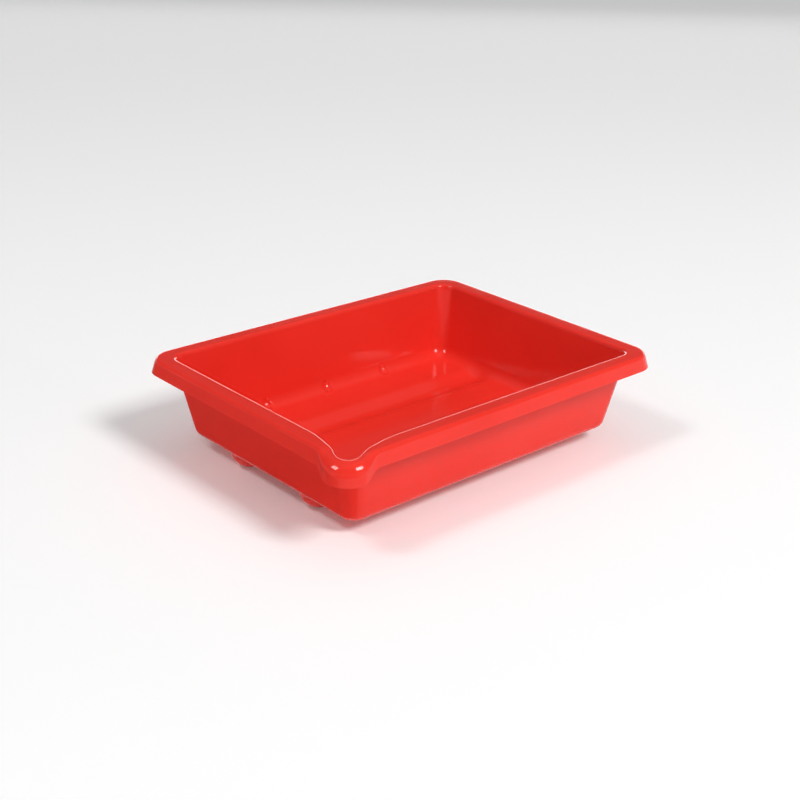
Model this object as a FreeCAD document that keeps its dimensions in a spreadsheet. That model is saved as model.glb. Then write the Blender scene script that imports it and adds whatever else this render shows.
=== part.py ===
import FreeCAD, Part
import math
import os
import re

from FreeCAD import Rotation, Vector
from Sketcher import Constraint

# A print-developing tray, moulded in one piece: a floor with two shallow channels, round-ended runners
# under them to stand on, sloping walls, three dimples at the foot of the back wall, a flat rim with a
# down-turned skirt, and a pouring lip pulled out of one corner. Millimetres, +Z up, long side along X.
# The origin is below the middle of the tray, on the surface it stands on.

doc = FreeCAD.newDocument("DevelopingTray")


# ---------------------------------------------------------------- driving dimensions

DIMENSIONS = [
    # body
    ("base_length", 199.0, "floor's underside, length before its edge is rounded"),
    ("base_width", 147.9, "floor's underside, width before its edge is rounded"),
    ("body_height", 48.6, "floor's underside to the top of the rim"),
    ("end_wall_slope", 0.2, "outward run of a short wall for each millimetre of height"),
    ("side_wall_slope", 0.157, "outward run of a long wall for each millimetre of height"),
    ("wall_thickness", 2.0, "walls, floor, rim and skirt"),
    ("body_corner_radius", 10.5, "outside corners of the body, seen from above"),
    ("base_edge_radius", 7.0, "rounding between floor and walls, outside"),
    ("floor_round", 8.0, "rounding between floor and walls, inside"),
    # rim
    ("rim_length", 238.0, "overall, at the skirt's lower edge"),
    ("rim_width", 182.5, "overall, at the skirt's lower edge"),
    ("rim_corner_radius", 14.0, "skirt's lower edge, seen from above"),
    ("skirt_height", 8.8, "top of the rim to the skirt's lower edge"),
    ("skirt_flare", 1.8, "how far the skirt runs outward over its height"),
    ("rim_outer_round", 2.5, "rounding between rim and skirt"),
    ("rim_inner_round", 2.2, "rounding between rim and inner wall"),
    # channels and runners
    ("runner_spacing", 63.0, "between the centre lines of the two runners"),
    ("runner_length", 197.6, "over the rounded ends"),
    ("runner_radius", 11.6, "outside"),
    ("runner_depth", 8.0, "floor's underside to the flat that the tray stands on"),
    ("runner_flat", 4.0, "width of the flat along each runner"),
    ("channel_depth", 3.0, "floor to the bottom of each channel"),
    ("channel_radius", 16.0, "rounding across each channel"),
    ("channel_length", 196.0, "over the rounded ends of the bars that shape the channels"),
    # dimples
    ("dimple_spacing", 46.5, "from one dimple to the next"),
    ("dimple_radius", 4.8, "sphere that shapes each dimple"),
    ("dimple_reach", 68.74, "middle of the tray to the sphere's middle"),
    ("dimple_level", 14.68, "height of the sphere's middle"),
    # pouring lip: distances along the rim are measured from the middle of the corner
    ("lip_reach", 30.0, "where the inner edge starts to leave the straight side"),
    ("lip_spread", 4.4, "outward spread of the inner edge"),
    ("lip_beak", 6.3, "further outward reach of the inner edge at the beak"),
    ("lip_beak_reach", 6.5, "where the beak starts"),
    ("lip_dip", 2.1, "drop of the rim at the middle of the lip"),
    ("lip_dip_reach", 10.0, "where the rim starts to drop"),
    ("lip_root_height", 26.0, "above the floor's underside, where the wall starts to flare"),
    ("nose_end_start", 19.0, "where the short side's skirt starts to swell and drop"),
    ("nose_end_full", 11.0, "where it has swollen and dropped"),
    ("nose_side_start", 19.5, "where the long side's skirt starts to swell and drop"),
    ("nose_side_full", 8.5, "where it has swollen and dropped"),
    ("nose_swell", 1.8, "outward swell of the skirt"),
    ("nose_beak", 2.1, "further outward reach of the skirt at the middle of the nose"),
    ("nose_beak_reach", 14.0, "where that further reach starts"),
    ("nose_drop", 5.9, "drop of the skirt's lower edge"),
    ("nose_dip", 1.8, "drop of the rim's outer edge at the middle of the nose"),
    ("nose_round", 8.0, "rounding between rim and skirt on the nose"),
    ("nose_tilt", 28.0, "degrees below level at which that rounding starts"),
    ("nose_fill", 1.2, "filling in the angle behind the nose's rounding"),
]

sheet = doc.addObject("Spreadsheet::Sheet", "Dimensions")
for row, (alias, value, note) in enumerate(DIMENSIONS, start=1):
    sheet.set(f"A{row}", alias)
    sheet.set(f"B{row}", str(value))
    sheet.set(f"C{row}", note)
    sheet.setAlias(f"B{row}", alias)
doc.recompute()


def dim(alias):
    """A driving dimension's number, for shapes that are built in code."""
    return float(sheet.get(alias))


def cells(expression):
    """The same expression with each dimension's name pointing at its cell in the sheet."""
    names = "|".join(alias for alias, _, _ in DIMENSIONS)
    return re.sub(rf"\b({names})\b", r"Dimensions.\1", expression)


# ---------------------------------------------------------------- sketches

def origin_plane(body, role):
    return next(item for item in body.Origin.OriginFeatures if item.Role == role)


def new_sketch(body, name, plane):
    sketch = body.newObject("Sketcher::SketchObject", name)
    sketch.AttachmentSupport = [(origin_plane(body, plane), "")]
    sketch.MapMode = "FlatFace"
    return sketch


def bind_constraint(sketch, name, constraint, expression):
    index = sketch.addConstraint(constraint)
    sketch.renameConstraint(index, name)
    sketch.setExpression(f"Constraints.{name}", cells(expression))


def round_ended_half(body, name, offset, level, length, radius):
    """Half the outline of a round-ended bar, closed along the bar's axis, which is the sketch's own."""
    sketch = new_sketch(body, name, "XZ_Plane")
    sketch.setExpression("AttachmentOffset.Base.z", cells(offset))
    sketch.setExpression("AttachmentOffset.Base.y", cells(level))
    half, r = 90.0, 10.0
    out = Vector(0, 0, 1)
    sketch.addGeometry(Part.LineSegment(Vector(-half, 0, 0), Vector(half, 0, 0)))
    right = Part.Circle(Vector(half - r, 0, 0), out, r)
    sketch.addGeometry(Part.ArcOfCircle(right, 0, math.pi / 2))
    sketch.addGeometry(Part.LineSegment(Vector(half - r, r, 0), Vector(r - half, r, 0)))
    left = Part.Circle(Vector(r - half, 0, 0), out, r)
    sketch.addGeometry(Part.ArcOfCircle(left, math.pi / 2, math.pi))
    sketch.addConstraint(Constraint("Coincident", 0, 2, 1, 1))
    sketch.addConstraint(Constraint("Tangent", 1, 2, 2, 1))
    sketch.addConstraint(Constraint("Tangent", 2, 2, 3, 1))
    sketch.addConstraint(Constraint("Coincident", 3, 2, 0, 1))
    sketch.addConstraint(Constraint("PointOnObject", 1, 3, -1))
    sketch.addConstraint(Constraint("PointOnObject", 3, 3, -1))
    sketch.addConstraint(Constraint("PointOnObject", 0, 1, -1))
    sketch.addConstraint(Constraint("Horizontal", 2))
    sketch.addConstraint(Constraint("Symmetric", 0, 1, 0, 2, -1, 1))
    bind_constraint(sketch, "bend", Constraint("Radius", 1, r), radius)
    bind_constraint(sketch, "across", Constraint("DistanceX", 0, 1, 0, 2, 2 * half), length)
    return sketch


# ---------------------------------------------------------------- body features

def tapered_block(body, name, low, low_length, low_width, high, high_length, high_width):
    """A centred block with level ends and sloping sides. Its two heights and four sizes are expressions."""
    feature = body.newObject("PartDesign::AdditiveWedge", name)
    feature.Placement.Rotation = Rotation(Vector(1, 0, 0), 90)
    sizes = {
        "Ymin": low, "Ymax": high,
        "Xmin": f"-0.5 * ({low_length})", "Xmax": f"0.5 * ({low_length})",
        "Zmin": f"-0.5 * ({low_width})", "Zmax": f"0.5 * ({low_width})",
        "X2min": f"-0.5 * ({high_length})", "X2max": f"0.5 * ({high_length})",
        "Z2min": f"-0.5 * ({high_width})", "Z2max": f"0.5 * ({high_width})",
    }
    for size, expression in sizes.items():
        feature.setExpression(size, cells(expression))
    doc.recompute()
    return feature


def turn(body, name, profile):
    feature = body.newObject("PartDesign::Revolution", name)
    feature.Profile = profile
    feature.ReferenceAxis = (profile, ["H_Axis"])
    feature.Angle = 360.0
    doc.recompute()
    return feature


def round_edges(body, name, base, radius, wanted):
    """Rounds the edges of the feature that the test picks."""
    names = [f"Edge{number}" for number, edge in enumerate(base.Shape.Edges, start=1) if wanted(edge)]
    feature = body.newObject("PartDesign::Fillet", name)
    feature.Base = (base, names)
    feature.setExpression("Radius", cells(radius))
    doc.recompute()
    return feature


def level_edge(level, within=None):
    """A test for edges that lie at one height and, where half sizes are given, within them in plan."""
    def wanted(edge):
        box = edge.BoundBox
        if max(abs(box.ZMin - level), abs(box.ZMax - level)) > 0.001:
            return False
        reach = (max(abs(box.XMin), abs(box.XMax)), max(abs(box.YMin), abs(box.YMax)))
        return within is None or (reach[0] < within[0] and reach[1] < within[1])
    return wanted


def corner_edge(edge):
    """A test for the steep edges at the corners of a tapered block."""
    return edge.BoundBox.ZLength > 1


# ---------------------------------------------------------------- the tray without its lip

TOP = "runner_depth + body_height"
SKIRT_LEVEL = "runner_depth + body_height - skirt_height"
RUNNER_AXIS = "sqrt(runner_radius ^ 2 - (runner_flat / 2) ^ 2)"


def body_length(height, inset="0"):
    """The body's outside length at a height above the floor's underside, less an inset at each end."""
    return f"(base_length + 2 * end_wall_slope * ({height}) - 2 * ({inset}))"


def body_width(height, inset="0"):
    return f"(base_width + 2 * side_wall_slope * ({height}) - 2 * ({inset}))"


def level_top():
    return dim("runner_depth") + dim("body_height")


def new_body(name):
    return doc.addObject("PartDesign::Body", name)


def combine(body, kind, name, tool):
    feature = body.newObject("PartDesign::Boolean", name)
    feature.Type = kind
    feature.Group = [tool]
    doc.recompute()
    return feature


def rim_block(body):
    """The rim and skirt as a solid plate, rounded outside."""
    block = tapered_block(
        body, "RimBlock", SKIRT_LEVEL, "rim_length", "rim_width",
        TOP, "rim_length - 2 * skirt_flare", "rim_width - 2 * skirt_flare",
    )
    block = round_edges(body, "RimCorners", block, "rim_corner_radius", corner_edge)
    round_edges(body, "RimOuterRound", block, "rim_outer_round", level_edge(level_top()))


def rim_hollow():
    """The space between skirt and walls."""
    tool = new_body("RimHollow")
    flare = "skirt_flare * (skirt_height - wall_thickness) / skirt_height"
    block = tapered_block(
        tool, "HollowBlock", SKIRT_LEVEL,
        "rim_length - 2 * wall_thickness", "rim_width - 2 * wall_thickness",
        f"{TOP} - wall_thickness",
        f"rim_length - 2 * wall_thickness - 2 * {flare}",
        f"rim_width - 2 * wall_thickness - 2 * {flare}",
    )
    round_edges(tool, "HollowCorners", block, "rim_corner_radius - wall_thickness", corner_edge)
    return tool


def round_ended_bars(body, name, level, length, radius):
    for side, sign in (("Left", "1"), ("Right", "-1")):
        profile = round_ended_half(
            body, f"{side}{name}Outline", f"{sign} * runner_spacing / 2", level, length, radius,
        )
        turn(body, f"{side}{name}", profile)


def body_outside():
    """The body's outside, up into the rim, with its runners."""
    tool = new_body("BodyOutside")
    up_to = "body_height - wall_thickness / 2"
    block = tapered_block(
        tool, "OutsideBlock", "runner_depth", "base_length", "base_width",
        f"runner_depth + {up_to}", body_length(up_to), body_width(up_to),
    )
    block = round_edges(tool, "BodyCorners", block, "body_corner_radius", corner_edge)
    round_edges(tool, "BaseRound", block, "base_edge_radius", level_edge(dim("runner_depth")))
    round_ended_bars(tool, "Runner", RUNNER_AXIS, "runner_length", "runner_radius")
    flat = tool.newObject("PartDesign::SubtractiveBox", "RunnerFlats")
    flat.setExpression("Length", cells("rim_length"))
    flat.setExpression("Width", cells("rim_width"))
    flat.setExpression("Height", cells("runner_depth"))
    flat.setExpression("Placement.Base.x", cells("-1 * rim_length / 2"))
    flat.setExpression("Placement.Base.y", cells("-1 * rim_width / 2"))
    flat.setExpression("Placement.Base.z", cells("-1 * runner_depth"))
    doc.recompute()
    return tool


def dimples(body):
    """Three balls along the foot of the back wall."""
    for number, steps in (("First", -1), ("Middle", 0), ("Last", 1)):
        ball = body.newObject("PartDesign::AdditiveSphere", f"{number}Dimple")
        ball.setExpression("Radius", cells("dimple_radius"))
        ball.setExpression("Placement.Base.x", cells(f"{steps} * dimple_spacing"))
        ball.setExpression("Placement.Base.y", cells("dimple_reach"))
        ball.setExpression("Placement.Base.z", cells("dimple_level"))


def cavity():
    """The inside of the tray, with the channels in its floor and the dimples."""
    tool = new_body("Cavity")
    past_top = "body_height + wall_thickness"
    block = tapered_block(
        tool, "CavityBlock", "runner_depth + wall_thickness",
        body_length("wall_thickness", "wall_thickness"), body_width("wall_thickness", "wall_thickness"),
        f"runner_depth + {past_top}",
        body_length(past_top, "wall_thickness"), body_width(past_top, "wall_thickness"),
    )
    block = round_edges(tool, "CavityCorners", block, "body_corner_radius - wall_thickness", corner_edge)
    floor = dim("runner_depth") + dim("wall_thickness")
    round_edges(tool, "FloorRound", block, "floor_round", level_edge(floor))
    axis = "runner_depth + wall_thickness - channel_depth + channel_radius"
    round_ended_bars(tool, "Channel", axis, "channel_length", "channel_radius")
    dimples(tool)
    doc.recompute()
    return tool


def plain_tray():
    """The whole tray, but with a plain corner where the lip goes."""
    body = new_body("PlainTray")
    rim_block(body)
    combine(body, "Cut", "RimHollowed", rim_hollow())
    combine(body, "Fuse", "WithBody", body_outside())
    hollowed = combine(body, "Cut", "Hollowed", cavity())
    mouth = (dim("rim_length") / 2 - 5, dim("rim_width") / 2 - 5)
    round_edges(body, "RimInnerRound", hollowed, "rim_inner_round", level_edge(level_top(), mouth))
    return body


def lip_corner():
    """The space round the lip's corner, down to where the walls start to flare."""
    box = doc.addObject("Part::Box", "LipCorner")
    reach = "body_corner_radius + lip_reach + 1"
    box.setExpression("Length", cells(f"rim_length - 0.5 * {body_length('body_height')} + {reach}"))
    box.setExpression("Width", cells(f"rim_width - 0.5 * {body_width('body_height')} + {reach}"))
    box.setExpression("Height", cells("body_height"))
    box.setExpression("Placement.Base.x", cells("-1 * rim_length"))
    box.setExpression("Placement.Base.y", cells("-1 * rim_width"))
    box.setExpression("Placement.Base.z", cells("runner_depth + lip_root_height"))
    doc.recompute()
    return box


plain = plain_tray()
corner = lip_corner()
opened = doc.addObject("Part::Cut", "OpenedCorner")
opened.Base = plain
opened.Tool = corner
doc.recompute()


# ---------------------------------------------------------------- the corner with the pouring lip
# It is a band of surfaces that runs round the corner, from a section of the long side to one of the short
# side. A station is a place along the band: how much of the straight run to the corner's arc is done, and
# the outward direction in degrees. A row is a line along the band, such as the rim's inner edge.

ARC_STEPS = 12
STRAIGHT_STEPS = 12
ROUNDING_STEPS = 6
WALL_STEPS = 8
SEGMENTS = 6
LONG_SIDE = 270
SHORT_SIDE = 180
JOIN_TOLERANCE = 0.005

FULL = level_top()
FOOT = FULL - dim("skirt_height")
UNDER = FULL - dim("wall_thickness")
ROOT = dim("runner_depth") + dim("lip_root_height")
SLOPES = (dim("end_wall_slope"), dim("side_wall_slope"))
INNER_RADIUS = dim("body_corner_radius") - dim("wall_thickness")
SKIRT_LEAN = math.atan(dim("skirt_flare") / dim("skirt_height"))


def rim_half(level):
    """Half sizes of the skirt's outside at a height."""
    out = dim("skirt_flare") * (FOOT - level) / dim("skirt_height")
    return dim("rim_length") / 2 + out, dim("rim_width") / 2 + out


def body_half(level, inset):
    """Half sizes of the body at a height, less an inset."""
    up = level - dim("runner_depth")
    return (
        dim("base_length") / 2 + SLOPES[0] * up - inset,
        dim("base_width") / 2 + SLOPES[1] * up - inset,
    )


INNER_EDGE = body_half(FULL, dim("wall_thickness"))
OUTER_EDGE = rim_half(FULL)
BAND_START = (
    corner.Placement.Base.x + corner.Length.Value,
    corner.Placement.Base.y + corner.Width.Value,
)


def stations():
    """From the long side, round the corner's arc, to the short side."""
    runs = [1 - (1 - step / STRAIGHT_STEPS) ** 1.5 for step in range(STRAIGHT_STEPS)]
    arc = [(1.0, LONG_SIDE - 90 * step / ARC_STEPS) for step in range(ARC_STEPS + 1)]
    return [(run, LONG_SIDE) for run in runs] + arc + [(run, SHORT_SIDE) for run in reversed(runs)]


def outward(station):
    angle = math.radians(station[1])
    return Vector(math.cos(angle), math.sin(angle), 0)


def on_run(station, point):
    """Moves an arc's end point back along its straight side, for a station that isn't on the arc."""
    run, direction = station
    if direction == LONG_SIDE:
        point.x = BAND_START[0] + run * (point.x - BAND_START[0])
    if direction == SHORT_SIDE:
        point.y = BAND_START[1] + run * (point.y - BAND_START[1])
    return point


def rim_point(station, half, radius, level):
    """A station's point on a rounded rectangle of the given half sizes and corner radius."""
    middle = Vector(radius - half[0], radius - half[1], level)
    return on_run(station, middle + outward(station) * radius)


def wall_point(station, level, inset, radius):
    """A station's point on the body's wall, whose corner is part of a leaning cylinder."""
    half = body_half(level, inset)
    end = Vector(-1, 0, -SLOPES[0]).normalize()
    side = Vector(0, -1, -SLOPES[1]).normalize()
    along = Vector(-SLOPES[0], -SLOPES[1], 1)
    between = end.getAngle(side)
    turned = between * (LONG_SIDE - station[1]) / 90
    out = (side * math.sin(between - turned) + end * math.sin(turned)) * (1 / math.sin(between))
    middle = Vector(-half[0], -half[1], level) - (end + side) * (radius / (1 + end.dot(side)))
    point = middle + out * radius
    return on_run(station, point + along * (level - point.z))


def distance(station, half, radius):
    """A station's distance from the middle of the corner, along a loop."""
    run, direction = station
    if run == 1:
        return radius * math.radians(abs(direction - 225))
    side = 0 if direction == LONG_SIDE else 1
    return radius * math.pi / 4 + (1 - run) * (half[side] - radius + BAND_START[side])


def bump(x):
    """1 at 0, and from 1 on level with 0."""
    return max(0.0, 1 - x * x) ** 2


def step_down(x):
    """1 up to 0, and 0 from 1 on."""
    x = min(max(x, 0.0), 1.0)
    return 1 - x * x * (3 - 2 * x)


def inner_edge_shift(station):
    """How far the lip moves the rim's inner edge out and down."""
    inner = distance(station, INNER_EDGE, INNER_RADIUS)
    spread = dim("lip_spread") * max(0.0, 1 - (inner / dim("lip_reach")) ** 2) ** 3
    beak = dim("lip_beak") * bump(inner / dim("lip_beak_reach"))
    return spread + beak, dim("lip_dip") * bump(inner / dim("lip_dip_reach"))


def nose_shift(station):
    """How far the nose moves the rim's outer edge out and down, and how much of its drop the skirt has."""
    outer = distance(station, OUTER_EDGE, dim("rim_corner_radius"))
    where = "side" if station[1] > 225 else "end"
    start, full = dim(f"nose_{where}_start"), dim(f"nose_{where}_full")
    share = step_down((outer - full) / (start - full))
    swell = dim("nose_swell") * share + dim("nose_beak") * bump(outer / dim("nose_beak_reach"))
    return swell, dim("nose_dip") * bump(outer / start), share


def wall_lean(station):
    """The wall's angle from upright at a station."""
    share = math.sin(math.radians(LONG_SIDE - station[1])) ** 2
    return math.atan(SLOPES[1] + (SLOPES[0] - SLOPES[1]) * share)


def flare_share(level):
    """How much of the inner edge's shift the walls have at a height."""
    return ((level - ROOT) / (FULL - ROOT)) ** 2


def wall_at(station, level, inset, radius):
    out, down = inner_edge_shift(station)
    share = flare_share(level)
    point = wall_point(station, level, inset, radius) + outward(station) * (out * share)
    point.z -= down * share
    return point


def inner_wall(part):
    """The row a part of the way up the inside of the wall, to where the rim's rounding starts."""
    def row(station):
        top = FULL - dim("rim_inner_round") * (1 - math.sin(wall_lean(station)))
        return wall_at(station, ROOT + (top - ROOT) * part, dim("wall_thickness"), INNER_RADIUS)
    return row


def inner_round(part):
    """The row a part of the way round from wall to rim."""
    if part == 0:
        return inner_wall(1)

    def row(station):
        radius = dim("rim_inner_round")
        lean = wall_lean(station)
        angle = lean + (math.pi / 2 - lean) * part
        start = flare_share(FULL - radius * (1 - math.sin(lean)))
        share = start + (1 - start) * part
        out, down = inner_edge_shift(station)
        reach = radius * ((1 - math.sin(lean)) / math.cos(lean) - math.cos(angle))
        point = wall_point(station, FULL, dim("wall_thickness"), INNER_RADIUS)
        point += outward(station) * (reach + out * share)
        point.z -= radius * (1 - math.sin(angle)) + down * share
        return point
    return row


def outer_round(part):
    """The row a part of the way round from rim to skirt."""
    def row(station):
        swell, dip, share = nose_shift(station)
        radius = dim("rim_outer_round") + (dim("nose_round") - dim("rim_outer_round")) * share
        start = math.pi / 2 - math.radians(dim("nose_tilt")) * share
        angle = start - (start - SKIRT_LEAN) * part
        reach = radius * (math.cos(angle) - (1 - math.sin(SKIRT_LEAN)) / math.cos(SKIRT_LEAN))
        point = rim_point(station, OUTER_EDGE, dim("rim_corner_radius"), FULL)
        point += outward(station) * (reach + swell)
        point.z -= radius * (1 - math.sin(angle)) + dip
        return point
    return row


def skirt(inset, level, part):
    """The row on the skirt at a height, whose drop goes from the rim's (0) to the nose's (1)."""
    def row(station):
        swell, dip, share = nose_shift(station)
        half = [size - inset for size in rim_half(level)]
        point = rim_point(station, half, dim("rim_corner_radius") - inset, level)
        point += outward(station) * swell
        point.z -= dip + (dim("nose_drop") * share - dip) * part
        return point
    return row


def under_corner(station):
    """The row where the skirt's inside meets the rim's underside."""
    fill = dim("nose_fill") * nose_shift(station)[2]
    point = skirt(dim("wall_thickness"), UNDER, 0)(station) - outward(station) * fill
    point.z -= fill
    return point


def outer_wall(part):
    """The row a part of the way up the outside of the wall, to the underside of the rim."""
    def row(station):
        return wall_at(station, ROOT + (UNDER - ROOT) * part, 0, dim("body_corner_radius"))
    return row


def parts(steps):
    return [step / steps for step in range(steps + 1)]


def strips():
    """The rows in order, in strips that meet at their first and last rows."""
    thick = dim("wall_thickness")
    return [
        [inner_wall(part) for part in parts(WALL_STEPS)],
        [inner_round(part) for part in parts(ROUNDING_STEPS)],
        [inner_round(1), outer_round(0)],
        [outer_round(part) for part in parts(ROUNDING_STEPS)],
        [outer_round(1), skirt(0, FOOT, 1)],
        [skirt(0, FOOT, 1), skirt(thick, FOOT, 1)],
        [skirt(thick, FOOT, 1), under_corner],
        [under_corner, outer_wall(1)],
        [outer_wall(part) for part in reversed(parts(WALL_STEPS))],
    ]


def spline(points):
    curve = Part.BSplineCurve()
    curve.interpolate(Points=points, Parameters=list(range(len(points))))
    return curve


def strip_faces(rows, places):
    """The smooth faces through a strip's rows. Strips that share a row get the same curve along it."""
    along = [spline([row(place) for place in places]) for row in rows]
    across = [spline(list(line)) for line in zip(*(curve.getPoles() for curve in along))]
    surface = Part.BSplineSurface()
    surface.buildFromPolesMultsKnots(
        [curve.getPoles() for curve in across],
        along[0].getMultiplicities(), across[0].getMultiplicities(),
        along[0].getKnots(), across[0].getKnots(),
        False, False, along[0].Degree, across[0].Degree,
    )
    ends = [round(part * (len(places) - 1)) for part in parts(SEGMENTS)]
    faces = []
    for low, high in zip(ends, ends[1:]):
        piece = surface.copy()
        piece.segment(low, high, 0, len(rows) - 1)
        faces.append(piece.toShape())
    return faces


def flat_face(faces, axis, level):
    """The flat face that closes the band at one level of an axis, inside the band's own edges there."""
    def lies_there(edge):
        ends = edge.FirstParameter, (edge.FirstParameter + edge.LastParameter) / 2, edge.LastParameter
        return all(abs(getattr(edge.valueAt(end), axis) - level) < 1e-6 for end in ends)

    edges = [edge for face in faces for edge in face.Edges if lies_there(edge)]
    return Part.Face(Part.Wire(Part.sortEdges(edges)[0]))


def lip_shape():
    places = stations()
    faces = [face for rows in strips() for face in strip_faces(rows, places)]
    first, last = inner_wall(0), outer_wall(0)
    foot = [spline([row(place) for place in places]) for row in (first, last)]
    foot += [Part.LineSegment(first(place), last(place)) for place in (places[0], places[-1])]
    edges = [curve.toShape() for curve in foot]
    faces.append(Part.Face(Part.Wire(Part.sortEdges(edges)[0])))
    faces.append(flat_face(faces, "x", BAND_START[0]))
    faces.append(flat_face(faces, "y", BAND_START[1]))
    shell = Part.makeShell(faces)
    shell.sewShape()
    return Part.makeSolid(shell)


lip = doc.addObject("Part::Feature", "PouringLip")
lip.Shape = lip_shape()

tray = doc.addObject("Part::Feature", "tray")
tray.Label = "tray"
tray.Shape = opened.Shape.fuse([lip.Shape], JOIN_TOLERANCE)
tray.Placement = FreeCAD.Placement()
doc.recompute()


# ---------------------------------------------------------------- checks and export

for item in doc.Objects:
    if "Invalid" in item.State or "Error" in item.State:
        raise RuntimeError(f"{item.Name} failed: {item.State}")
if tray.Shape.isNull() or not tray.Shape.isValid() or len(tray.Shape.Solids) != 1:
    raise RuntimeError("the tray isn't one valid solid")

os.makedirs("parts", exist_ok=True)
tray.Shape.Solids[0].exportStep("parts/tray.step")
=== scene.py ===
import math

import bpy
import numpy as np
from mathutils import Matrix, Vector


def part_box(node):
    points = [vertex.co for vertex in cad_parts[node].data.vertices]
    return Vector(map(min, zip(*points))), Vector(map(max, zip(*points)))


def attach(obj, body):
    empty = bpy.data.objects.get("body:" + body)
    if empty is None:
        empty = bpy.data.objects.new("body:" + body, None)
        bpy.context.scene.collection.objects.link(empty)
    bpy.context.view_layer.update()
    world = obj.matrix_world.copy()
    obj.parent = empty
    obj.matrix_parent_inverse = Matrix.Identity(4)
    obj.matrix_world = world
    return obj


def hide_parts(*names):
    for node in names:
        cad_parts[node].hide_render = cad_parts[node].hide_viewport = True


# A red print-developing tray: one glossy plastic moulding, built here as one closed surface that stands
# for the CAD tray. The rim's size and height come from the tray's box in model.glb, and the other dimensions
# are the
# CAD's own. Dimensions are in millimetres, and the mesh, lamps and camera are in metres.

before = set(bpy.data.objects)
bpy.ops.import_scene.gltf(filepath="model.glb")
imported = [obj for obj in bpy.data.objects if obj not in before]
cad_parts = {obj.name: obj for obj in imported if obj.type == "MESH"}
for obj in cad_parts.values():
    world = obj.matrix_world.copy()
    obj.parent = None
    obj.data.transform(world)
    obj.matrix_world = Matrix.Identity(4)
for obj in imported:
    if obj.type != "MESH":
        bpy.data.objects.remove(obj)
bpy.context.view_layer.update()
tray_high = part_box("tray")[1]

MM = 0.001


def vec(values):
    return np.array(values, dtype=float)


# ---------------------------------------------------------------- dimensions (mm)

# body
DEPTH = 8.0                           # runners' height under the floor
TOP = round(tray_high[2] / MM, 1)     # the rim's top
HEIGHT = TOP - DEPTH                  # floor's underside to the rim's top
BASE = vec([199.0, 147.9]) / 2        # half size at the floor's underside
SLOPE = vec([0.2, 0.157])             # outward run of end and side walls per unit of height
WALL = 2.0
BODY_CORNER = 10.5
SMALLEST_CORNER = 1.0
BASE_ROUND = 7.0                      # between floor and walls, outside
FLOOR_ROUND = 8.0                     # between floor and walls, inside

# rim and skirt
RIM = vec([round(edge / MM, 2) for edge in tray_high[:2]])    # half size at the skirt's lower edge
RIM_CORNER = 14.0
SKIRT = 8.8
FLARE = 1.8                           # how far the skirt runs outward over its height
OUTER_ROUND = 2.5
INNER_ROUND = 2.2

# runners under the floor, and the soft channels inside, above them
RUNNER_Y = 31.5
RUNNER_HALF = 98.8
RUNNER_R = 11.6
RUNNER_FLAT = 4.0
RUNNER_BLEND = 2.2                    # width of the blend into the floor
RUNNER_AXIS_Z = math.sqrt(RUNNER_R ** 2 - (RUNNER_FLAT / 2) ** 2)
AWAY_SLOPE = 4.0                      # how fast the runners' surface rises away from them
CHANNEL_HALF, CHANNEL_DEPTH = 14.0, 3.0
CHANNEL_FADE = 12.0                   # height over which the channels fade out up the walls

# lip: how the inner edge spreads and dips, by distance along the edge from the corner's middle
LIP_REACH, LIP_SPREAD = 30.0, 4.4
BEAK_REACH, BEAK = 6.5, 6.3
DIP_REACH, DIP = 10.0, 2.1
LIP_ROOT = DEPTH + 26.0               # height where the walls start to flare
MOST_FLARE = 1.2
BEAK_ROUND, BEAK_ROUND_REACH = 1.3, 12.0

# nose: how the skirt swells and hangs lower outside the lip
NOSE_START, NOSE_END = 19.0, 11.0     # on the short side
LONG_START, LONG_END = 19.5, 8.5      # on the long side
NOSE_SWELL = 1.8
NOSE_BEAK, NOSE_BEAK_REACH = 2.1, 14.0
NOSE_DROP = 5.9
NOSE_DIP = 1.8
NOSE_ROUND = 8.0
NOSE_FILL = 1.2                       # filling behind the nose's rounding
NOSE_START_TURN = 28.0                # degrees by which the nose's rounding starts below flat
EDGE_SOFT, NOSE_EDGE_SOFT = 0.35, 0.9     # rounding of the skirt's lower edge, and what the nose adds

# dimples along the foot of the far long wall
DIMPLE_X = (-46.5, 0.0, 46.5)
DIMPLE_Y, DIMPLE_Z, DIMPLE_R = 68.74, 14.68, 4.8

# gaps that keep the rows apart in the angles under the rim, at the skirt and at the wall
SKIRT_GAP, WALL_GAP = 0.6, 0.8

# steps of the mesh
CORNER_STEPS = 20                     # on half a corner's arc
FLOOR_ROUND_STEPS = 20
WALL_STEPS = 40
INNER_STEPS = 8
FLANGE_STEPS = 12
OUTER_STEPS = 12
SKIRT_STEPS = 8
UNDER_STEPS = 12
BASE_STEPS = 12
CHANNEL_ROWS = 27                     # first rows, which the channels and dimples may move
RUNNER_ROWS = 20                      # last rows, which the runners may move
FIRST_STEP, STEP_GROWTH, LONGEST_STEP = 0.55, 0.035, 2.4
MARK_GROWTH, SHORTEST_END = 0.12, 0.2

# finer stretches along the sides: distance from the middle, half width and step
DIMPLE_MARKS = ((0.0, 3.2, 0.45), (51.2, 3.2, 0.45))
CHANNEL_MARKS = ((22.8, 2.0, 0.5), (47.7, 2.0, 0.5))


# ---------------------------------------------------------------- stations round the tray

def smooth(x):
    x = np.clip(x, 0.0, 1.0)
    return x * x * (3 - 2 * x)


def bump(x):
    x = np.clip(np.abs(x), 0.0, 1.0)
    return (1 - x ** 2) ** 2


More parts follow.
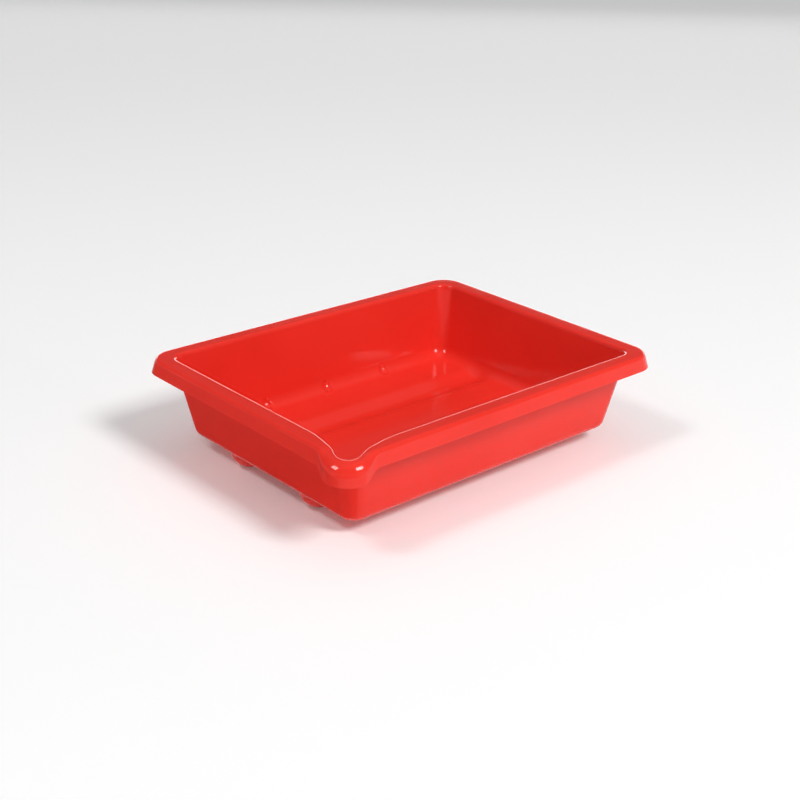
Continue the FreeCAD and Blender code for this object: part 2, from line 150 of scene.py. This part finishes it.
def side_positions(half, marks):
    """Fractions from -1 to 1 along a straight side, close together at the ends and near the marks."""
    want = []
    x = -half
    while x < half - SHORTEST_END:
        want.append(x)
        end = half - abs(x)
        step = FIRST_STEP + STEP_GROWTH * end
        for mark, reach, fine in marks:
            away = max(abs(abs(x) - mark) - reach, 0.0)
            step = min(step, fine + MARK_GROWTH * away)
        x += min(step, LONGEST_STEP)
    want = vec(want + [half])
    want = 0.5 * (want - want[::-1])   # the same from both ends
    return want / half


X_LINES = side_positions(BASE[0] + SLOPE[0] * HEIGHT - BODY_CORNER, DIMPLE_MARKS)
Y_LINES = side_positions(BASE[1] + SLOPE[1] * HEIGHT - BODY_CORNER, CHANNEL_MARKS)


def ring():
    """Stations counter-clockwise: arrays of straight fraction (fx, fy) and outward normal (nx, ny)."""
    stations = []

    def straight_y(sign):              # going up in y on the +X side, and down on the -X side
        for f in sign * Y_LINES[:-1]:
            stations.append((sign, f, sign, 0.0))

    def straight_x(sign):              # going down in x on the +Y side, and up on the -Y side
        for f in -sign * X_LINES[:-1]:
            stations.append((f, sign, 0.0, sign))

    def arc(sx, sy, start):
        for k in range(2 * CORNER_STEPS):
            angle = math.radians(start + 90.0 * k / (2 * CORNER_STEPS))
            stations.append((sx, sy, math.cos(angle), math.sin(angle)))

    straight_y(1)
    arc(1, 1, 0)
    straight_x(1)
    arc(-1, 1, 90)
    straight_y(-1)
    arc(-1, -1, 180)
    straight_x(-1)
    arc(1, -1, 270)
    return vec(stations).T


FX, FY, NX, NY = ring()
COUNT = len(FX)
END = NX ** 2                          # how much a station belongs to the short sides' profile
INNER_R = BODY_CORNER - WALL
INNER_TOP = BASE + SLOPE * HEIGHT - WALL
OUTER_TOP = RIM - FLARE


def along(radius, half):
    """Distance of each station from the middle of the lip's corner, along a loop."""
    quarter = radius * math.pi / 4
    angle = np.degrees(np.arctan2(NY, NX)) % 360
    on_arc = (FX == -1) & (FY == -1) & (angle >= 180) & (angle <= 270)
    distance = np.full(COUNT, 1000.0)
    distance[on_arc] = radius * np.radians(np.abs(angle[on_arc] - 225))
    side_x = (NY == -1) & ~on_arc
    distance[side_x] = quarter + (FX[side_x] + 1) * (half[0] - radius)
    side_y = (NX == -1) & ~on_arc
    distance[side_y] = quarter + (FY[side_y] + 1) * (half[1] - radius)
    return distance


A_IN = along(INNER_R, INNER_TOP)
A_OUT = along(RIM_CORNER, OUTER_TOP)

# the lip's inner edge
SPREAD = LIP_SPREAD * np.clip(1 - (A_IN / LIP_REACH) ** 2, 0, 1) ** 3 + BEAK * bump(A_IN / BEAK_REACH)
RIM_DIP = DIP * bump(A_IN / DIP_REACH)
INNER_ROUNDING = INNER_ROUND + (BEAK_ROUND - INNER_ROUND) * bump(A_IN / BEAK_ROUND_REACH)

# the nose outside it
LONG_PART = np.abs(NY) > np.abs(NX)
STARTS = np.where(LONG_PART, LONG_START, NOSE_START)
ENDS = np.where(LONG_PART, LONG_END, NOSE_END)
PLATEAU = smooth((STARTS - A_OUT) / (STARTS - ENDS))
SWELL = NOSE_SWELL * PLATEAU + NOSE_BEAK * bump(A_OUT / NOSE_BEAK_REACH)
OUT_DIP = NOSE_DIP * bump(A_OUT / STARTS)
LOW_DROP = NOSE_DROP * PLATEAU
OUTER_ROUNDING = OUTER_ROUND + (NOSE_ROUND - OUTER_ROUND) * PLATEAU
LOW_ROUNDING = EDGE_SOFT + NOSE_EDGE_SOFT * PLATEAU


# ---------------------------------------------------------------- rows of the profile
# Each row is a loop: half sizes and heights for the end and side profiles, corner radius, and how far
# the lip or nose moves it outward and down at each station. The rows run from the inside's floor over
# the rim and down the outside.

LEAN = np.arctan(SLOPE)                # how far each wall leans outward from upright
SINE, COSINE = np.sin(LEAN), np.cos(LEAN)
FULL_TURN = math.pi / 2 - LEAN         # from a floor's normal to each wall's
SKIRT_LEAN = math.atan(FLARE / SKIRT)
SKIRT_LOW = TOP - SKIRT
UNDER = TOP - WALL                     # the rim's underside

rows = []


def add_row(half, level, radius, out=0.0, down=0.0):
    """half, level: (end, side) pairs, each a number or one value per station."""
    centre_x = half[0] - radius
    centre_y = half[1] - radius
    x = np.where(np.abs(NX) == 1, half[0] * NX, 0.0)
    x = np.where(np.abs(NY) == 1, FX * centre_x, x)
    y = np.where(np.abs(NY) == 1, half[1] * NY, 0.0)
    y = np.where(np.abs(NX) == 1, FY * centre_y, y)
    on_arc = (np.abs(NX) < 1) & (np.abs(NY) < 1)
    x = np.where(on_arc, FX * centre_x + radius * NX, x)
    y = np.where(on_arc, FY * centre_y + radius * NY, y)
    z = level[0] * END + level[1] * (1 - END)
    rows.append(np.stack([x + out * NX, y + out * NY, z - down + 0 * x], axis=1))


def wall_flare(level):
    """How much of the lip's outward spread the walls have at a height."""
    v = np.clip((level - LIP_ROOT) / (TOP - LIP_ROOT), 0.0, MOST_FLARE)
    return v ** 2


def body_point(level, inset):
    return BASE + SLOPE * (level - DEPTH) - inset


def floor_rounding(level, inset, radius, steps):
    """Half sizes, heights and corner radius of the rows that round a floor into the walls."""
    centre = body_point(level, inset) - radius * np.tan(FULL_TURN / 2)
    for k in range(steps + 1):
        turn = FULL_TURN * k / steps
        half = centre + radius * np.sin(turn)
        z = level + radius * (1 - np.cos(turn))
        corner = BODY_CORNER - inset - radius * float(np.mean(np.sin(FULL_TURN) - np.sin(turn)))
        yield half, z, max(corner, SMALLEST_CORNER)


def add_inside_wall():
    for half, start, corner in floor_rounding(DEPTH + WALL, WALL, FLOOR_ROUND, FLOOR_ROUND_STEPS):
        add_row(half, start, corner)
    for k in range(1, WALL_STEPS):
        t = k / WALL_STEPS
        z = [start[i] + (TOP - INNER_ROUNDING * (1 - SINE[i]) - start[i]) * t for i in (0, 1)]
        half = [BASE[i] + SLOPE[i] * (z[i] - DEPTH) - WALL for i in (0, 1)]
        share = wall_flare(z[0] * END + z[1] * (1 - END))
        add_row(half, z, INNER_R, SPREAD * share, RIM_DIP * share)


def add_inner_rounding():
    """Its circle touches the flange above and the leaning wall. Returns where it meets the flange."""
    first = wall_flare(TOP - INNER_ROUNDING * (1 - SINE[0]))
    for k in range(INNER_STEPS + 1):
        part = k / INNER_STEPS
        angle = LEAN + FULL_TURN * part          # from the wall's normal to straight up
        out = [(1 - SINE[i]) / COSINE[i] - math.cos(angle[i]) for i in (0, 1)]
        half = [INNER_TOP[i] + INNER_ROUNDING * out[i] for i in (0, 1)]
        z = [TOP - INNER_ROUNDING * (1 - math.sin(angle[i])) for i in (0, 1)]
        reach = (half[0] - INNER_TOP[0]) * END + (half[1] - INNER_TOP[1]) * (1 - END)
        share = first + (1 - first) * part
        add_row(half, z, INNER_R + reach, SPREAD * share, RIM_DIP * share)
    return half, INNER_R + reach


def add_flange(start, start_radius):
    """Flange and outer rounding. Returns where the rounding meets the skirt."""
    back = OUTER_ROUNDING * (1 - math.sin(SKIRT_LEAN)) / math.cos(SKIRT_LEAN)
    round_start = math.pi / 2 - np.radians(NOSE_START_TURN) * PLATEAU
    edge_back = back - OUTER_ROUNDING * np.cos(round_start)
    edge_z = TOP - OUTER_ROUNDING * (1 - np.sin(round_start))
    edge = (OUTER_TOP[0] - edge_back, OUTER_TOP[1] - edge_back)
    for k in range(1, FLANGE_STEPS):
        t = k / FLANGE_STEPS
        half = [start[i] + (edge[i] - start[i]) * t for i in (0, 1)]
        radius = start_radius + (RIM_CORNER - edge_back - start_radius) * t
        z = TOP + (edge_z - TOP) * t
        add_row(half, (z, z), radius, SPREAD + (SWELL - SPREAD) * t, RIM_DIP + (OUT_DIP - RIM_DIP) * t)
    for k in range(OUTER_STEPS + 1):
        angle = round_start + (SKIRT_LEAN - round_start) * k / OUTER_STEPS
        half = [OUTER_TOP[i] - back + OUTER_ROUNDING * np.cos(angle) for i in (0, 1)]
        radius = RIM_CORNER - back + OUTER_ROUNDING * np.cos(angle)
        z = TOP - OUTER_ROUNDING + OUTER_ROUNDING * np.sin(angle)
        add_row(half, (z, z), radius, SWELL, OUT_DIP)
    return half, z


def add_skirt(top_half, top_z):
    """The skirt's outside, lower edge and inside, up to the rim's underside."""
    low_z = SKIRT_LOW + LOW_ROUNDING
    for k in range(1, SKIRT_STEPS + 1):
        t = k / SKIRT_STEPS
        z = top_z + (low_z - top_z) * t
        half = [top_half[i] + (RIM[i] - FLARE * LOW_ROUNDING / SKIRT - top_half[i]) * t for i in (0, 1)]
        add_row(half, (z, z), RIM_CORNER, SWELL, OUT_DIP + (LOW_DROP - OUT_DIP) * t)
    for turn in np.radians((22.5, 45.0, 67.5, 90.0)):
        inward = LOW_ROUNDING * (1 - math.cos(turn))
        z = SKIRT_LOW + LOW_ROUNDING * (1 - math.sin(turn))
        add_row([RIM[i] - inward for i in (0, 1)], (z, z), RIM_CORNER - inward, SWELL, LOW_DROP)
    # the small rounding on the edge's inner side: outward, corner's outward and up
    for out, corner_out, rise in ((0.45, 0.4, 0.0), (0.12, 0.1, 0.1)):
        z = SKIRT_LOW + rise
        add_row(RIM - WALL + out, (z, z), RIM_CORNER - WALL + corner_out, SWELL, LOW_DROP)
    for k in range(SKIRT_STEPS + 1):
        t = k / SKIRT_STEPS
        z = low_z + (UNDER - SKIRT_GAP - low_z) * t
        half = [RIM[i] - WALL - FLARE * (z - SKIRT_LOW) / SKIRT for i in (0, 1)]
        fill = NOSE_FILL * PLATEAU * t ** 3
        down = LOW_DROP + (OUT_DIP - LOW_DROP) * t + fill
        add_row(half, (z, z), RIM_CORNER - WALL, SWELL - fill, down)


def add_underside():
    first = RIM - WALL - FLARE * (SKIRT - WALL) / SKIRT - SKIRT_GAP
    last = BASE + SLOPE * (HEIGHT - WALL) + WALL_GAP
    first_radius = RIM_CORNER - WALL - SKIRT_GAP
    for k in range(UNDER_STEPS + 1):
        t = k / UNDER_STEPS
        half = first + (last - first) * t
        radius = first_radius + (BODY_CORNER + WALL_GAP - first_radius) * t
        fill = NOSE_FILL * PLATEAU * (1 - t) ** 3
        out = SWELL + (SPREAD * wall_flare(UNDER) - SWELL) * t - fill
        add_row(half, (UNDER, UNDER), radius, out, OUT_DIP + (RIM_DIP - OUT_DIP) * t + fill)


def add_outside_wall():
    base_rows = list(floor_rounding(DEPTH, 0.0, BASE_ROUND, BASE_STEPS))[::-1]
    start = UNDER - WALL_GAP
    end = base_rows[0][1]
    for k in range(WALL_STEPS):
        t = k / WALL_STEPS
        z = start + (end - start) * t
        flare = wall_flare(z)
        out = SPREAD * (flare[0] * END + flare[1] * (1 - END))
        add_row(body_point(z, 0.0), z, BODY_CORNER, out, RIM_DIP * (1 - t) ** 4)
    for half, z, corner in base_rows:
        add_row(half, z, corner)


add_inside_wall()
flange_half, flange_radius = add_inner_rounding()
skirt_half, skirt_z = add_flange(flange_half, flange_radius)
add_skirt(skirt_half, skirt_z)
add_underside()
add_outside_wall()


# ---------------------------------------------------------------- one closed mesh

# each floor is a grid, and half of each corner's arc goes to each of its sides
nx = len(X_LINES) - 1 + 2 * CORNER_STEPS
ny = len(Y_LINES) - 1 + 2 * CORNER_STEPS


def grid_sides(loop):
    """Splits a loop into the right, top, left and bottom sides of a grid, each in rising x or y."""
    items = np.roll(loop, CORNER_STEPS, axis=0)       # from the middle of the (+X, -Y) corner
    right = items[:ny + 1]
    top = items[ny:ny + nx + 1][::-1]
    left = items[ny + nx:2 * ny + nx + 1][::-1]
    bottom = np.concatenate([items[2 * ny + nx:], items[:1]])
    return right, top, left, bottom


def fill_loop(loop):
    """Fills a loop with a grid of nx + 1 by ny + 1 points whose edge is the loop."""
    right, top, left, bottom = grid_sides(loop)
    u = np.linspace(0, 1, nx + 1)[:, None, None]
    v = np.linspace(0, 1, ny + 1)[None, :, None]
    return ((1 - v) * bottom[:, None] + v * top[:, None] + (1 - u) * left[None] + u * right[None]
            - (1 - u) * (1 - v) * bottom[0] - u * (1 - v) * bottom[-1]
            - (1 - u) * v * top[0] - u * v * top[-1])


row_count = len(rows)
ring_points = row_count * COUNT
floor_points = (nx - 1) * (ny - 1)
vertices = list(rows)
faces = []
for r in range(row_count - 1):
    a = r * COUNT + np.arange(COUNT)
    b = r * COUNT + (np.arange(COUNT) + 1) % COUNT
    faces.append(np.stack([a, b, b + COUNT, a + COUNT], axis=1)[:, ::-1])

# the inside's floor fills the first row, and the underside the last
for row, first_point, flip in ((0, ring_points, False), (row_count - 1, ring_points + floor_points, True)):
    right, top, left, bottom = grid_sides(row * COUNT + np.arange(COUNT))
    number = np.zeros((nx + 1, ny + 1), dtype=int)
    number[1:-1, 1:-1] = np.arange(floor_points).reshape(nx - 1, ny - 1) + first_point
    number[:, 0] = bottom
    number[:, ny] = top
    number[0] = left
    number[nx] = right
    vertices.append(fill_loop(rows[row])[1:-1, 1:-1].reshape(-1, 3))
    corners = [number[:-1, :-1], number[1:, :-1], number[1:, 1:], number[:-1, 1:]]
    cells = np.stack(corners, axis=-1).reshape(-1, 4)
    faces.append(cells[:, ::-1] if flip else cells)

points = np.concatenate(vertices)
quads = np.concatenate(faces)


# ---------------------------------------------------------------- channels, dimples and runners

def bar_distance(part):
    """Distance from the middle lines of the two runners, seen from above."""
    beyond = np.maximum(np.abs(part[:, 0]) - (RUNNER_HALF - RUNNER_R), 0.0)
    return np.hypot(beyond, np.abs(part[:, 1]) - RUNNER_Y)


def soft_min(a, b, width):
    """The lower of two heights, blended over a width."""
    h = np.clip(0.5 + 0.5 * (b - a) / width, 0.0, 1.0)
    return b + (a - b) * h - width * h * (1 - h)


def press_inside(part):
    """Lowers the channels into the inside's floor and pushes the dimples out of the wall's foot."""
    bell = 0.5 + 0.5 * np.cos(math.pi * np.clip(bar_distance(part) / CHANNEL_HALF, 0.0, 1.0))
    fade = np.clip(1.0 - (part[:, 2] - DEPTH - WALL) / CHANNEL_FADE, 0.0, 1.0)
    part[:, 2] -= CHANNEL_DEPTH * bell * fade
    for x in DIMPLE_X:
        away = part - vec([x, DIMPLE_Y, DIMPLE_Z])
        far = np.linalg.norm(away, axis=1)
        push = np.where(far < DIMPLE_R, DIMPLE_R - far, 0.0)
        part = part + away / far[:, None] * push[:, None]
    return part


def press_outside(part):
    """Lowers the runners out of the underside, down to their flats."""
    distance = bar_distance(part)
    inside = RUNNER_AXIS_Z - np.sqrt(np.clip(RUNNER_R ** 2 - distance ** 2, 0.0, None))
    beside = RUNNER_AXIS_Z + AWAY_SLOPE * np.clip(distance - RUNNER_R, 0.0, None)
    surface = np.where(distance < RUNNER_R, inside, beside)
    part[:, 2] = np.maximum(soft_min(part[:, 2], surface, RUNNER_BLEND), 0.0)
    return part


index = np.arange(len(points))
after_rows = index - ring_points
is_inside = (index < CHANNEL_ROWS * COUNT) | ((after_rows >= 0) & (after_rows < floor_points))
is_outside = (index >= ring_points - RUNNER_ROWS * COUNT) & ((after_rows < 0) | (after_rows >= floor_points))
points[is_inside] = press_inside(points[is_inside])
points[is_outside] = press_outside(points[is_outside])

mesh = bpy.data.meshes.new("tray_moulding")
mesh.from_pydata((points * MM).tolist(), [], quads.tolist())
mesh.validate()
mesh.update()
mesh.shade_smooth()
tray = bpy.data.objects.new("tray_moulding", mesh)
bpy.context.collection.objects.link(tray)
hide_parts("tray")
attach(tray, "root")


# ---------------------------------------------------------------- material

RED_DARK, RED_LIGHT = (0.80, 0.029, 0.018, 1), (0.86, 0.038, 0.025, 1)      # across the moulding's flow
RED_FADE = (0.3, 0.7)                  # noise values between which the two reds fade
WORN_RED = (0.70, 0.11, 0.09, 1)
IOR, SPECULAR = 1.47, 0.25
ROUGHNESS = (0.09, 0.14)
RELIEF = 0.00006                       # height of the surface's waves, in metres
# noise scales, in features per metre
FLOW_SCALE, WAVE_SCALE, GRAIN_SCALE = 11.0, 140.0, 2600.0
GLOSS_SCALE, SCUFF_SCALE, BREAK_SCALE = 60.0, 420.0, 45.0
SCRATCHES = ((0.3, 900.0), (1.9, 700.0))          # direction in radians, and fineness across
SCRATCH_STRETCH = (9.0, 30.0)                     # the same along the scratches and upright
SCRATCH_EDGE, BREAK_EDGE = (0.69, 0.74), (0.45, 0.6)      # noise values between which they appear
SCUFF_EDGE, SCUFF_LEAST = (0.35, 0.65), 0.25      # the same for scuffing, and its share between the spots
FOOT_LOW, FOOT_HIGH = 0.0001, 0.0012              # heights between which scuffing fades, in metres
# how much scuffing, scratches and grain change the colour, the roughness and the relief
SCUFF_TINT, SCRATCH_TINT = 0.3, 0.03
SCUFF_ROUGH, SCRATCH_ROUGH = 0.3, 0.06
SCRATCH_DEPTH, GRAIN_DEPTH = 0.05, 0.03


def plastic(name):
    """Glossy moulded plastic: faint moulding waves, flow marks, fine scratches and scuffed feet."""
    material = bpy.data.materials.new(name)
    material.use_nodes = True
    nodes = material.node_tree.nodes
    links = material.node_tree.links
    shader = nodes["Principled BSDF"]
    shader.inputs["IOR"].default_value = IOR
    shader.inputs["Specular IOR Level"].default_value = SPECULAR
    place = nodes.new("ShaderNodeTexCoord").outputs["Object"]

    def noise(scale, detail, where=place):
        node = nodes.new("ShaderNodeTexNoise")
        node.inputs["Scale"].default_value = scale
        node.inputs["Detail"].default_value = detail
        links.new(where, node.inputs["Vector"])
        return node.outputs["Fac"]

    def spread(value, low, high, to_low, to_high):
        node = nodes.new("ShaderNodeMapRange")
        limits = {"From Min": low, "From Max": high, "To Min": to_low, "To Max": to_high}
        for socket, number in limits.items():
            node.inputs[socket].default_value = number
        links.new(value, node.inputs["Value"])
        return node.outputs["Result"]

    def combine(operation, one, two):
        node = nodes.new("ShaderNodeMath")
        node.operation = operation
        for socket, value in zip(node.inputs, (one, two)):
            if isinstance(value, float):
                socket.default_value = value
            else:
                links.new(value, socket)
        return node.outputs[0]

    def scratches(turn, across):
        """Thin lines that run one way, broken up along their length."""
        mapping = nodes.new("ShaderNodeMapping")
        mapping.inputs["Rotation"].default_value = (0.0, 0.0, turn)
        mapping.inputs["Scale"].default_value = (SCRATCH_STRETCH[0], across, SCRATCH_STRETCH[1])
        links.new(place, mapping.inputs["Vector"])
        line = spread(noise(1.0, 1.0, mapping.outputs["Vector"]), *SCRATCH_EDGE, 0.0, 1.0)
        return combine("MULTIPLY", line, spread(noise(BREAK_SCALE, 2.0), *BREAK_EDGE, 0.0, 1.0))

    marks = combine("MAXIMUM", scratches(*SCRATCHES[0]), scratches(*SCRATCHES[1]))

    # scuffing on the runners that the tray slides on
    height = nodes.new("ShaderNodeSeparateXYZ")
    links.new(place, height.inputs[0])
    foot = spread(height.outputs["Z"], FOOT_LOW, FOOT_HIGH, 1.0, 0.0)
    scuff = combine("MULTIPLY", foot, spread(noise(SCUFF_SCALE, 4.0), *SCUFF_EDGE, SCUFF_LEAST, 1.0))

    # colour
    flow = nodes.new("ShaderNodeValToRGB")
    for element, position, colour in zip(flow.color_ramp.elements, RED_FADE, (RED_DARK, RED_LIGHT)):
        element.position = position
        element.color = colour
    links.new(noise(FLOW_SCALE, 3.0), flow.inputs["Fac"])
    worn = nodes.new("ShaderNodeMix")
    worn.data_type = "RGBA"
    worn.inputs["B"].default_value = WORN_RED
    wear = combine("ADD", combine("MULTIPLY", scuff, SCUFF_TINT), combine("MULTIPLY", marks, SCRATCH_TINT))
    links.new(wear, worn.inputs["Factor"])
    links.new(flow.outputs["Color"], worn.inputs["A"])
    links.new(worn.outputs["Result"], shader.inputs["Base Color"])

    # gloss
    rough = spread(noise(GLOSS_SCALE, 4.0), 0.3, 0.7, *ROUGHNESS)
    rough = combine("ADD", rough, combine("MULTIPLY", marks, SCRATCH_ROUGH))
    rough = combine("ADD", rough, combine("MULTIPLY", scuff, SCUFF_ROUGH))
    links.new(rough, shader.inputs["Roughness"])

    # relief
    grain = combine("MULTIPLY", noise(GRAIN_SCALE, 2.0), GRAIN_DEPTH)
    relief = combine("ADD", noise(WAVE_SCALE, 2.0), grain)
    relief = combine("SUBTRACT", relief, combine("MULTIPLY", marks, SCRATCH_DEPTH))
    bump_node = nodes.new("ShaderNodeBump")
    bump_node.inputs["Strength"].default_value = 1.0
    bump_node.inputs["Distance"].default_value = RELIEF
    links.new(relief, bump_node.inputs["Height"])
    links.new(bump_node.outputs["Normal"], shader.inputs["Normal"])
    return material


mesh.materials.append(plastic("red_plastic"))


# ---------------------------------------------------------------- floor, light and camera

FLOOR_RADIUS, FLOOR_LEVEL, FLOOR_SIDES = 2.45, -0.0001, 96
FLOOR_GREY, FLOOR_GLOW = 0.95, 0.08

# a dark card on the floor, which only reflections see: a painted dark reflection on the -X wall's gloss, in
# place of the pale floor
CARD_X, CARD_Y, CARD_LEVEL = (-1.4, -0.1), (-0.11, 1.4), 0.0004
CARD_GREY = 0.12

# the sky's grey by the sine of the height angle
SKY = ((0.0, 0.95), (0.1, 0.95), (0.25, 0.1), (0.6, 0.15), (1.0, 0.6))


def matt_material(name, level, glow=0.0):
    material = bpy.data.materials.new(name)
    material.use_nodes = True
    shader = material.node_tree.nodes["Principled BSDF"]
    shader.inputs["Base Color"].default_value = (level, level, level, 1)
    shader.inputs["Roughness"].default_value = 0.9
    shader.inputs["Emission Color"].default_value = (1.0, 1.0, 1.0, 1)
    shader.inputs["Emission Strength"].default_value = glow
    return material


def flat_shape(name, corners, material):
    """One flat face of the stage."""
    face_mesh = bpy.data.meshes.new(name)
    face_mesh.from_pydata(corners, [], [tuple(range(len(corners)))])
    face_mesh.materials.append(material)
    shape = bpy.data.objects.new(name, face_mesh)
    bpy.context.collection.objects.link(shape)
    return shape


turns = [2 * math.pi * k / FLOOR_SIDES for k in range(FLOOR_SIDES)]
floor_edge = [(FLOOR_RADIUS * math.cos(turn), FLOOR_RADIUS * math.sin(turn), FLOOR_LEVEL) for turn in turns]
floor = flat_shape("floor", floor_edge, matt_material("backdrop", FLOOR_GREY, FLOOR_GLOW))

card_edge = [(CARD_X[i], CARD_Y[j], CARD_LEVEL) for i, j in ((0, 0), (1, 0), (1, 1), (0, 1))]
card = flat_shape("dark_card", card_edge, matt_material("dark_card", CARD_GREY))
# seen by reflections only, so it paints a dark reflection and casts no light or shadow
card.visible_camera = False
card.visible_diffuse = False
card.visible_shadow = False

world = bpy.data.worlds.new("studio")
bpy.context.scene.world = world
world.use_nodes = True
world_nodes = world.node_tree.nodes
world_links = world.node_tree.links
background = world_nodes["Background"]
background.inputs["Strength"].default_value = 1.0
direction = world_nodes.new("ShaderNodeTexCoord")
split = world_nodes.new("ShaderNodeSeparateXYZ")
ramp = world_nodes.new("ShaderNodeValToRGB")
world_links.new(direction.outputs["Generated"], split.inputs[0])
world_links.new(split.outputs["Z"], ramp.inputs["Fac"])
world_links.new(ramp.outputs["Color"], background.inputs["Color"])
while len(ramp.color_ramp.elements) < len(SKY):
    ramp.color_ramp.elements.new(0.5)
for element, (position, grey) in zip(ramp.color_ramp.elements, SKY):
    element.position = position
    element.color = (grey, grey, grey, 1)

# the filmic transforms can't reach the plastic's saturated red
bpy.context.scene.view_settings.view_transform = "Standard"


def area_light(name, azimuth, elevation, distance, width, height, power, glossy=True, diffuse=True):
    """A soft rectangular lamp aimed at the tray. Angles are in degrees."""
    data = bpy.data.lights.new(name, "AREA")
    data.shape = "RECTANGLE"
    data.size = width
    data.size_y = height
    data.energy = power
    lamp = bpy.data.objects.new(name, data)
    a, e = math.radians(azimuth), math.radians(elevation)
    place = Vector((math.cos(a) * math.cos(e), math.sin(a) * math.cos(e), math.sin(e))) * distance
    lamp.location = place
    lamp.rotation_euler = (-place).to_track_quat("-Z", "Y").to_euler()
    lamp.visible_camera = False
    lamp.visible_glossy = glossy
    lamp.visible_diffuse = diffuse
    bpy.context.collection.objects.link(lamp)


# the keys light the surfaces, and the glints and the strip are only seen as reflections
area_light("left_key", 168, 56, 3.0, 0.62, 0.62, 18, glossy=False)
area_light("right_key", 276, 46, 3.0, 0.8, 0.8, 52, glossy=False)
area_light("left_glint", 171, 39, 3.0, 1.0, 1.0, 70, diffuse=False)
area_light("right_glint", 279, 38, 3.0, 1.1, 1.1, 110, diffuse=False)
area_light("back_strip", 48, 9, 2.0, 3.0, 0.3, 14, diffuse=False)

CAMERA_PLACE = vec([-494.8, -547.7, 345.7]) * MM
YAW, PITCH, ROLL = math.radians(48.03), math.radians(23.33), math.radians(1.36)
FOCAL_PIXELS = 1371.12
FRAME_PIXELS = 800
SENSOR = 36.0

forward = Vector((math.cos(YAW) * math.cos(PITCH), math.sin(YAW) * math.cos(PITCH), -math.sin(PITCH)))
right = Vector((math.sin(YAW), -math.cos(YAW), 0))
up = right.cross(forward)
right_rolled = math.cos(ROLL) * right + math.sin(ROLL) * up
up_rolled = -math.sin(ROLL) * right + math.cos(ROLL) * up
camera_data = bpy.data.cameras.new("camera")
camera_data.sensor_width = SENSOR
camera_data.lens = SENSOR * FOCAL_PIXELS / FRAME_PIXELS
camera = bpy.data.objects.new("camera", camera_data)
axes = Matrix((right_rolled, up_rolled, -forward)).transposed()
camera.matrix_world = Matrix.Translation(Vector(CAMERA_PLACE.tolist())) @ axes.to_4x4()
bpy.context.collection.objects.link(camera)
bpy.context.scene.camera = camera
